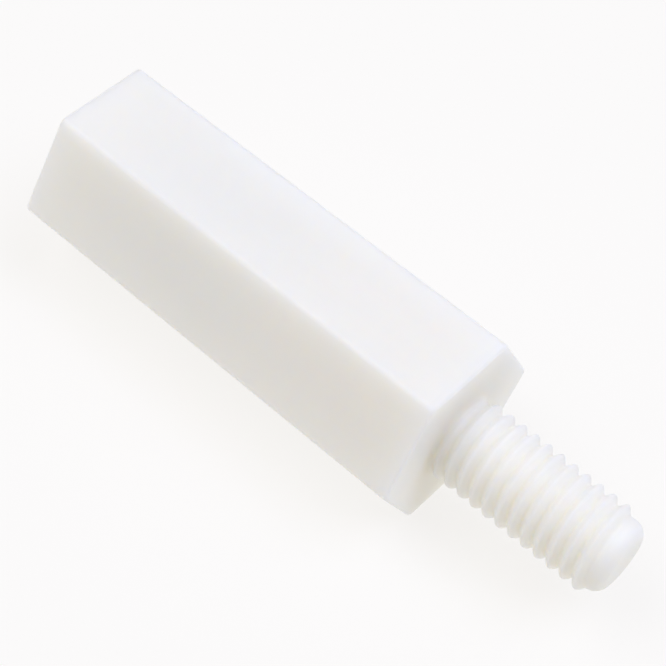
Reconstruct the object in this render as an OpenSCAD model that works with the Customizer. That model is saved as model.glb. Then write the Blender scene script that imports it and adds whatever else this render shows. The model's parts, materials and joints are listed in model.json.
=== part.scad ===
// Male-female hex standoff, moulded in one piece of natural white nylon.
// It lies on one flat of its hexagon, with its axis along X and its threaded stud towards +X.
// The origin is on the surface it lies on, under the middle of its length.

/* [Hex body] */
// Distance across the flats of the hexagon
across_flats = 6; // [5.5:0.5:10]
// Length of the hexagonal body, from the female end face to the shoulder
body_len = 16; // [12:0.5:40]
// Radius that the six long edges are moulded with
long_edge_r = 0.25; // [0.1:0.05:0.4]
// Chamfer along the edges of both end faces
end_chamfer = 0.1; // [0.05:0.05:0.4]

/* [Male stud] */
// Diameter over the crests of the stud's M3 thread
thread_d = 3; // [2.9:0.02:3]
// Pitch of the thread
thread_pitch = 0.5; // [0.4:0.05:0.7]
// Length of the stud, from the shoulder to its tip
stud_len = 6.5; // [5:0.5:12]
// Length of the smooth nose, in pitches of the thread
nose_pitches = 1.2; // [1:0.1:2]
// Diameter of the nose where it leaves the thread, a little over the thread's roots
nose_d = 2.54; // [2.4:0.02:2.8]
// Diameter of the flat on the end of the nose
nose_flat_d = 1.6; // [1.2:0.1:2]

/* [Tapped hole] */
// Diameter inside the crests of the hole's M3 thread
hole_d = 2.5; // [2.4:0.05:2.6]
// Depth of the hole's full diameter
hole_depth = 9; // [5:0.5:10]
// Diameter of the countersink at the mouth
mouth_d = 3.2; // [3:0.1:3.6]
// Included angle of the drill point at the bottom
drill_angle = 118; // [90:1:140]

/* [Hidden] */
$fn = 96;

// Points along the arc that rounds each long edge
edge_steps = 6;
// Distance from the axis to the centre of that arc
edge_centre = (across_flats / 2 - long_edge_r) / cos(30);
// A slab wide enough to reach past the corners of the hexagon
slab_w = 2 * across_flats;
nose_len = nose_pitches * thread_pitch;
nose_r = nose_d / 2;
// The nose's rounding is never longer than the nose
nose_arc_r = min(nose_r - nose_flat_d / 2, nose_len);
nose_flat_r = nose_r - nose_arc_r;
// Depth of the drill's point and of the 90 degree countersink
point_len = hole_d / 2 / tan(drill_angle / 2);
mouth_len = (mouth_d - hole_d) / 2;
// Overlap that lets neighbouring cuts and joins run into each other
lap = 0.02;
total_len = body_len + stud_len;

// A hexagon with two flats square to Y and every corner rounded by an arc
module hex_section() {
    polygon([
        for (corner = [0:5])
            for (step = [0:edge_steps])
                let (
                    middle = 60 * corner,
                    turn = middle - 30 + 60 * step / edge_steps
                )
                edge_centre * [cos(middle), sin(middle)]
                    + long_edge_r * [cos(turn), sin(turn)]
    ]);
}

// One opposite pair of flats, chamfered where they meet the two end faces
module flat_pair() {
    half = across_flats / 2;
    rotate([90, 0, 90])
        linear_extrude(height = slab_w, center = true)
            polygon([
                [-half + end_chamfer, 0],
                [half - end_chamfer, 0],
                [half, end_chamfer],
                [half, body_len - end_chamfer],
                [half - end_chamfer, body_len],
                [-half + end_chamfer, body_len],
                [-half, body_len - end_chamfer],
                [-half, end_chamfer]
            ]);
}

// The hexagonal body, from its female end at z = 0 up to the shoulder
module hex_body() {
    intersection() {
        linear_extrude(height = body_len) hex_section();
        flat_pair();
        rotate(60) flat_pair();
        rotate(120) flat_pair();
    }
}

// The stud as a plain round bar over the crests, with its rounded nose
module stud() {
    translate([0, 0, body_len - lap])
        cylinder(h = stud_len - nose_len + lap, d = thread_d);
    translate([0, 0, total_len - nose_len])
        rotate_extrude() nose_profile();
}

// Half of the nose: a short neck, a quarter-round shoulder and the end flat
module nose_profile() {
    neck_len = nose_len - nose_arc_r;
    translate([0, -lap]) square([nose_r, neck_len + lap]);
    square([nose_flat_r, nose_len]);
    intersection() {
        translate([nose_flat_r, neck_len]) circle(r = nose_arc_r);
        translate([0, neck_len - lap]) square([nose_r, nose_len]);
    }
}

// The blind tapped hole: countersunk mouth, plain bore and drill point
module tapped_hole() {
    translate([0, 0, -lap])
        cylinder(h = hole_depth + lap, d = hole_d);
    translate([0, 0, hole_depth])
        cylinder(h = point_len, d1 = hole_d, d2 = 0);
    translate([0, 0, -lap])
        cylinder(h = mouth_len + lap, d1 = mouth_d + 2 * lap, d2 = hole_d);
}

// The whole standoff, laid along X on one of its flats
module standoff() {
    color("ghostwhite")
        translate([-total_len / 2, 0, across_flats / 2])
            rotate([90, 0, 90])
                difference() {
                    union() {
                        hex_body();
                        stud();
                    }
                    tapped_hole();
                }
}

standoff();
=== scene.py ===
"""A white nylon male-female hex standoff with M3 threads, lying on one of its flats."""

import json
import math

import bpy
import numpy as np
from mathutils import Matrix, Vector


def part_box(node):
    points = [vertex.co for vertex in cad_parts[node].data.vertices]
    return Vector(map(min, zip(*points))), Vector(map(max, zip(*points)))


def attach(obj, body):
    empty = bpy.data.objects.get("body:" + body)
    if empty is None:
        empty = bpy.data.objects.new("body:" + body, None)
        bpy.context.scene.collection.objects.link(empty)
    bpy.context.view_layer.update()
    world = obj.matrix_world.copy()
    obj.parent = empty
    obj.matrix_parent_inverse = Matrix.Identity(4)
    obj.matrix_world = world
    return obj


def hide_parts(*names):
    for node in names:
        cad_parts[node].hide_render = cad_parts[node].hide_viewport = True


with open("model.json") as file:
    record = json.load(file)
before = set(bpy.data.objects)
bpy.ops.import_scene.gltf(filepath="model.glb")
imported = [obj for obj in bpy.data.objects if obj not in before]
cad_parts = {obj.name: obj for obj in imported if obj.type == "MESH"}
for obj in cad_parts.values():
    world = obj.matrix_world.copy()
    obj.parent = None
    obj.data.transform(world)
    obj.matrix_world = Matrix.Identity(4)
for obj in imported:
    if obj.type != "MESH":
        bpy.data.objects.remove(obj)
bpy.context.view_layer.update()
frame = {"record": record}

MM = 0.001
LOW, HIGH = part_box("standoff")
MOUNTS = {m["name"]: m for m in frame["record"]["mounts"]}

# ---------------------------------------------------------------- sizes, in millimetres

ACROSS_FLATS = (HIGH.z - LOW.z) / MM
X_FEMALE = LOW.x / MM
X_TIP = HIGH.x / MM
X_SHOULDER = MOUNTS["shoulder"]["pos_m"][0] / MM

LONG_EDGE_R = 0.25       # rounding of the six long edges
END_EDGE_R = 0.11        # rounding round both end faces
SINK = 0.012             # how far the middle of each flat has sunk as it cooled

PITCH = 0.5              # M3 coarse
THREAD_DEPTH = 0.23      # moulded shallower than a cut thread
THREAD_SHIFT = 0.01      # where the crests fall along the axis
STUD_R = MOUNTS["stud"]["dims"]["r_mm"]
ROOT_R = STUD_R - THREAD_DEPTH   # the smooth nose has this radius too
ROOT_FILLET = 0.3        # blend from the shoulder into the stud
THREAD_START = 0.35      # length over which the ridge rises from the shoulder
THREAD_STOP = 0.45       # the ridge has died away this far from the tip
THREAD_FADE = 0.2        # length over which it dies away
NOSE_FLAT_R = 0.8        # flat on the end of the nose
NOSE_ARC_R = ROOT_R - NOSE_FLAT_R

HOLE_R = MOUNTS["tapped_hole"]["dims"]["r_mm"]
HOLE_DEPTH = 9.0         # depth of the full diameter
MOUTH_R = 1.6            # countersink at the female end
MOUTH_LIP = 0.02         # narrow edge between the countersink and the end face
DRILL_ANGLE = math.radians(118)

CORNER_STEPS = 8         # steps round each long edge
FLAT_STEPS = 18          # steps across each flat
END_EDGE_STEPS = 6       # steps round the edges of the end faces
BODY_RINGS = 40
STUD_RINGS_PER_PITCH = 18
HOLE_RINGS_PER_PITCH = 10


# ---------------------------------------------------------------- profiles

def smooth(t):
    """0 to 1 with no corner at either end."""
    t = np.clip(t, 0.0, 1.0)
    return t * t * (3 - 2 * t)


def ridge_profile(phase):
    """Height of the thread, 1 on its rounded crest and 0 in its narrow root."""
    crest_half, root_half, blur = 0.1, 0.42, 0.1
    shifts = np.linspace(-blur, blur, 9)
    total = 0.0
    for shift in shifts:
        off = np.abs((phase + shift) % 1.0 - 0.5)
        total = total + np.clip((root_half - off) / (root_half - crest_half), 0.0, 1.0)
    return total / len(shifts)


def thread_phase(x):
    """Turns of the right-hand thread at x, for every point round the axis."""
    return (x - THREAD_SHIFT) / PITCH - ANGLES / (2 * math.pi)


def hex_ring(inset):
    """The body's section as (y, z) points, moved inwards by inset, with one row per point."""
    arc_r = LONG_EDGE_R - inset
    centre_r = (ACROSS_FLATS / 2 - LONG_EDGE_R) / math.cos(math.pi / 6)
    points = []
    for corner in range(6):
        middle = math.radians(60 * corner)
        centre = centre_r * np.array([math.cos(middle), math.sin(middle)])
        for step in range(CORNER_STEPS + 1):
            turn = middle + math.radians(60 * step / CORNER_STEPS - 30)
            points.append(centre + arc_r * np.array([math.cos(turn), math.sin(turn)]))
        following = math.radians(60 * corner + 60)
        leave = middle + math.pi / 6
        start = points[-1]
        normal = np.array([math.cos(leave), math.sin(leave)])
        stop = centre_r * np.array([math.cos(following), math.sin(following)]) + arc_r * normal
        for step in range(1, FLAT_STEPS):
            points.append(start + (stop - start) * step / FLAT_STEPS)
    return np.array(points)


OUTLINE = hex_ring(0.0)
ANGLES = np.arctan2(OUTLINE[:, 1], OUTLINE[:, 0])
AROUND = np.stack([np.cos(ANGLES), np.sin(ANGLES)], axis=1)


def flat_sink(x):
    """Inward drop of the flats at x: greatest in the middle of each flat, none at its edges."""
    across = np.cos(3 * (ANGLES - math.pi / 6)) ** 2
    along = math.sin(math.pi * np.clip((x - X_FEMALE) / (X_SHOULDER - X_FEMALE), 0, 1)) ** 0.5
    return SINK * across * along


# ---------------------------------------------------------------- rings of the mesh

def round_ring(x, radius):
    """A ring across the axis at x. radius is one number, or one number per point."""
    spread = AROUND * (np.zeros(len(ANGLES)) + radius)[:, None]
    return np.column_stack([np.zeros(len(ANGLES)) + x, spread])


def body_ring(x, inset):
    """The hexagon at x, moved inwards by inset. Only the full section has its flats sunk."""
    ring = hex_ring(inset)
    if inset == 0.0:
        ring = ring - AROUND * flat_sink(x)[:, None]
    return np.column_stack([np.full(len(ring), x), ring])


def face_rings(x, inner_r, inset, steps):
    """Rings across an end face, from a circle out to the hexagon."""
    inner = round_ring(x, inner_r)
    outer = body_ring(x, inset)
    return [inner + (outer - inner) * share for share in np.linspace(0, 1, steps + 1)]


def hole_rings():
    """From the drill point out to the countersunk mouth, along the internal thread."""
    x_bottom = X_FEMALE + HOLE_DEPTH
    point_len = HOLE_R / math.tan(DRILL_ANGLE / 2)
    rings = [round_ring(x_bottom + point_len * (1 - t), HOLE_R * t) for t in (0.03, 0.35, 0.7, 1)]
    count = int((HOLE_DEPTH / PITCH - 1) * HOLE_RINGS_PER_PITCH)
    for x in np.linspace(x_bottom - PITCH / 4, X_FEMALE, count):
        fade = smooth((x_bottom - PITCH / 2 - x) / (2 * PITCH))
        groove = HOLE_R + THREAD_DEPTH * fade * (1 - ridge_profile(thread_phase(x)))
        cone = MOUTH_R - (x - X_FEMALE)
        rings.append(round_ring(x, np.maximum(groove, cone)))
    rings[-1] = round_ring(X_FEMALE, MOUTH_R)
    return rings


def body_rings():
    """The female end face, the six flats and the shoulder."""
    rings = face_rings(X_FEMALE, MOUTH_R + MOUTH_LIP, END_EDGE_R, steps=5)
    turns = np.linspace(0, math.pi / 2, END_EDGE_STEPS + 1)
    for turn in turns[1:-1]:
        drop = END_EDGE_R * (1 - math.cos(turn))
        rings.append(body_ring(X_FEMALE + drop, END_EDGE_R * (1 - math.sin(turn))))
    for x in np.linspace(X_FEMALE + END_EDGE_R, X_SHOULDER - END_EDGE_R, BODY_RINGS):
        rings.append(body_ring(x, 0.0))
    for turn in turns[1:-1][::-1]:
        drop = END_EDGE_R * (1 - math.cos(turn))
        rings.append(body_ring(X_SHOULDER - drop, END_EDGE_R * (1 - math.sin(turn))))
    rings += face_rings(X_SHOULDER, ROOT_R + ROOT_FILLET, END_EDGE_R, steps=8)[::-1]
    return rings


def stud_radius(x):
    """Radius of the stud at x for every point round it. Near the tip each ridge fades as a whole."""
    phase = thread_phase(x)
    crest_x = x - (phase % 1.0 - 0.5) * PITCH
    start = smooth((x - X_SHOULDER) / THREAD_START)
    stop = smooth((X_TIP - crest_x - THREAD_STOP) / THREAD_FADE)
    return ROOT_R + THREAD_DEPTH * start * stop * ridge_profile(phase)


def stud_rings():
    """The fillet at the shoulder, then the thread as far as the rounding of the nose."""
    rings = []
    for turn in np.linspace(0, math.pi / 2, 6)[1:]:
        radius = ROOT_R + ROOT_FILLET * (1 - math.sin(turn))
        x = X_SHOULDER + ROOT_FILLET * (1 - math.cos(turn))
        rings.append(round_ring(x, np.maximum(radius, stud_radius(x))))
    x_start = X_SHOULDER + ROOT_FILLET
    x_stop = X_TIP - NOSE_ARC_R
    count = int((x_stop - x_start) / PITCH * STUD_RINGS_PER_PITCH)
    for x in np.linspace(x_start, x_stop, count)[1:]:
        rings.append(round_ring(x, stud_radius(x)))
    return rings


def nose_rings():
    """The rounding of the nose and the flat on its end."""
    rings = []
    for turn in np.linspace(0, math.pi / 2, 14)[1:]:
        x = X_TIP - NOSE_ARC_R * (1 - math.sin(turn))
        rings.append(round_ring(x, NOSE_FLAT_R + NOSE_ARC_R * math.cos(turn)))
    rings += [round_ring(X_TIP, NOSE_FLAT_R * t) for t in (0.75, 0.45, 0.15)]
    return rings


def ring_mesh(name, rings):
    """One closed skin over the rings, in order, with a point at each end of the run."""
    around = len(ANGLES)
    ends = [rings[0].mean(axis=0), rings[-1].mean(axis=0)]
    verts = np.vstack(rings + [np.array(ends)])
    verts[:, 2] += ACROSS_FLATS / 2
    verts *= MM
    first, last = len(verts) - 2, len(verts) - 1
    faces = []
    for j in range(around):
        k = (j + 1) % around
        faces.append((first, j, k))
        for i in range(len(rings) - 1):
            a, b = i * around, (i + 1) * around
            faces.append((a + j, b + j, b + k, a + k))
        a = (len(rings) - 1) * around
        faces.append((a + j, last, a + k))
    mesh = bpy.data.meshes.new(name)
    mesh.from_pydata(verts.tolist(), [], faces)
    mesh.validate()
    mesh.shade_smooth()
    piece = bpy.data.objects.new(name, mesh)
    bpy.context.scene.collection.objects.link(piece)
    return piece


# ---------------------------------------------------------------- materials

def nylon():
    """Natural moulded nylon: milky, satin, with faint flow marks and a fine mould texture."""
    material = bpy.data.materials.new("nylon")
    material.use_nodes = True
    nodes, links = material.node_tree.nodes, material.node_tree.links
    shader = nodes["Principled BSDF"]
    shader.inputs["Roughness"].default_value = 0.5
    shader.inputs["Specular IOR Level"].default_value = 0.35
    shader.inputs["IOR"].default_value = 1.53
    shader.inputs["Subsurface Weight"].default_value = 1.0
    shader.inputs["Subsurface Radius"].default_value = (1.0, 0.9, 0.72)
    shader.inputs["Subsurface Scale"].default_value = 1.9 * MM

    place = nodes.new("ShaderNodeTexCoord")
    stretch = nodes.new("ShaderNodeMapping")
    stretch.inputs["Scale"].default_value = (120, 700, 700)
    links.new(place.outputs["Object"], stretch.inputs["Vector"])
    flow = nodes.new("ShaderNodeTexNoise")
    flow.inputs["Scale"].default_value = 1.0
    flow.inputs["Detail"].default_value = 4.0
    links.new(stretch.outputs["Vector"], flow.inputs["Vector"])
    tint = nodes.new("ShaderNodeValToRGB")
    tint.color_ramp.elements[0].position = 0.3
    tint.color_ramp.elements[0].color = (0.865, 0.842, 0.78, 1)
    tint.color_ramp.elements[1].position = 0.7
    tint.color_ramp.elements[1].color = (0.877, 0.856, 0.798, 1)
    links.new(flow.outputs["Fac"], tint.inputs["Fac"])
    links.new(tint.outputs["Color"], shader.inputs["Base Color"])

    grain = nodes.new("ShaderNodeTexNoise")
    grain.inputs["Scale"].default_value = 9000
    grain.inputs["Detail"].default_value = 3.0
    links.new(place.outputs["Object"], grain.inputs["Vector"])
    bump = nodes.new("ShaderNodeBump")
    bump.inputs["Strength"].default_value = 0.15
    bump.inputs["Distance"].default_value = 0.01 * MM
    links.new(grain.outputs["Fac"], bump.inputs["Height"])
    links.new(bump.outputs["Normal"], shader.inputs["Normal"])
    return material


def paper():
    """The pale floor. It gives off part of its light, so that it stays pale under the standoff."""
    material = bpy.data.materials.new("floor")
    material.use_nodes = True
    shader = material.node_tree.nodes["Principled BSDF"]
    shader.inputs["Base Color"].default_value = (0.15, 0.15, 0.15, 1)
    shader.inputs["Roughness"].default_value = 0.9
    shader.inputs["Specular IOR Level"].default_value = 0.1
    shader.inputs["Emission Color"].default_value = (1, 0.985, 0.965, 1)
    shader.inputs["Emission Strength"].default_value = 0.81
    return material


# ---------------------------------------------------------------- the standoff

standoff = ring_mesh("standoff_nylon", hole_rings() + body_rings() + stud_rings() + nose_rings())
standoff.data.materials.append(nylon())
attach(standoff, "root")
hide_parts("standoff")


# ---------------------------------------------------------------- floor, light and camera

# In metres and degrees
FLOOR_HALF = 0.6
SOFTBOX_SIZE = 0.25
SOFTBOX_DISTANCE = 0.35
SOFTBOX_ELEVATION = 60


def floor():
    """One flat sheet under the standoff."""
    mesh = bpy.data.meshes.new("floor")
    corners = [(-1, -1), (1, -1), (1, 1), (-1, 1)]
    mesh.from_pydata([(FLOOR_HALF * x, FLOOR_HALF * y, 0) for x, y in corners], [], [(0, 1, 2, 3)])
    sheet = bpy.data.objects.new("floor", mesh)
    bpy.context.scene.collection.objects.link(sheet)
    sheet.data.materials.append(paper())


def softbox(name, azimuth, power, colour):
    """A square soft light aimed at the standoff, from a direction given as the camera's is."""
    light = bpy.data.lights.new(name, "AREA")
    light.size = SOFTBOX_SIZE
    light.energy = power
    light.color = colour
    lamp = bpy.data.objects.new(name, light)
    bpy.context.scene.collection.objects.link(lamp)
    back = direction(azimuth, SOFTBOX_ELEVATION)
    lamp.location = back * SOFTBOX_DISTANCE
    lamp.rotation_mode = "QUATERNION"
    lamp.rotation_quaternion = (-back).to_track_quat("-Z", "Y")


def direction(azimuth, elevation):
    """From the standoff outwards. Azimuth 0 is on the -Y side and 90 on the +X side."""
    a, e = math.radians(azimuth), math.radians(elevation)
    return Vector((math.sin(a) * math.cos(e), -math.cos(a) * math.cos(e), math.sin(e)))


def surroundings(strength):
    """Even white light from all round."""
    world = bpy.data.worlds.new("studio")
    world.use_nodes = True
    background = world.node_tree.nodes["Background"]
    background.inputs["Color"].default_value = (1, 1, 1, 1)
    background.inputs["Strength"].default_value = strength
    bpy.context.scene.world = world


def camera(azimuth, elevation, roll, distance, aim, lens):
    """Looks at aim from the given direction, turned by roll about the line of sight."""
    data = bpy.data.cameras.new("camera")
    data.lens = lens
    data.sensor_width = 36
    data.clip_start = 0.001
    data.clip_end = 10
    view = bpy.data.objects.new("camera", data)
    bpy.context.scene.collection.objects.link(view)
    back = direction(azimuth, elevation)
    view.location = Vector(aim) + back * distance
    turn = (-back).to_track_quat("-Z", "Y").to_matrix().to_4x4()
    view.rotation_mode = "QUATERNION"
    view.rotation_quaternion = (turn @ Matrix.Rotation(math.radians(roll), 4, "Z")).to_quaternion()
    bpy.context.scene.camera = view


floor()
surroundings(0.24)
softbox("light_right", azimuth=125, power=0.88, colour=(0.76, 0.81, 1.0))
softbox("light_left", azimuth=305, power=0.58, colour=(0.99, 0.97, 1.0))
aim = (LOW + HIGH) / 2 + Vector((-0.51, -0.01, 0.16)) * MM
camera(azimuth=35.6, elevation=52.9, roll=8.36, distance=56.94 * MM, aim=aim, lens=96.04)
bpy.context.scene.view_settings.view_transform = "Standard"
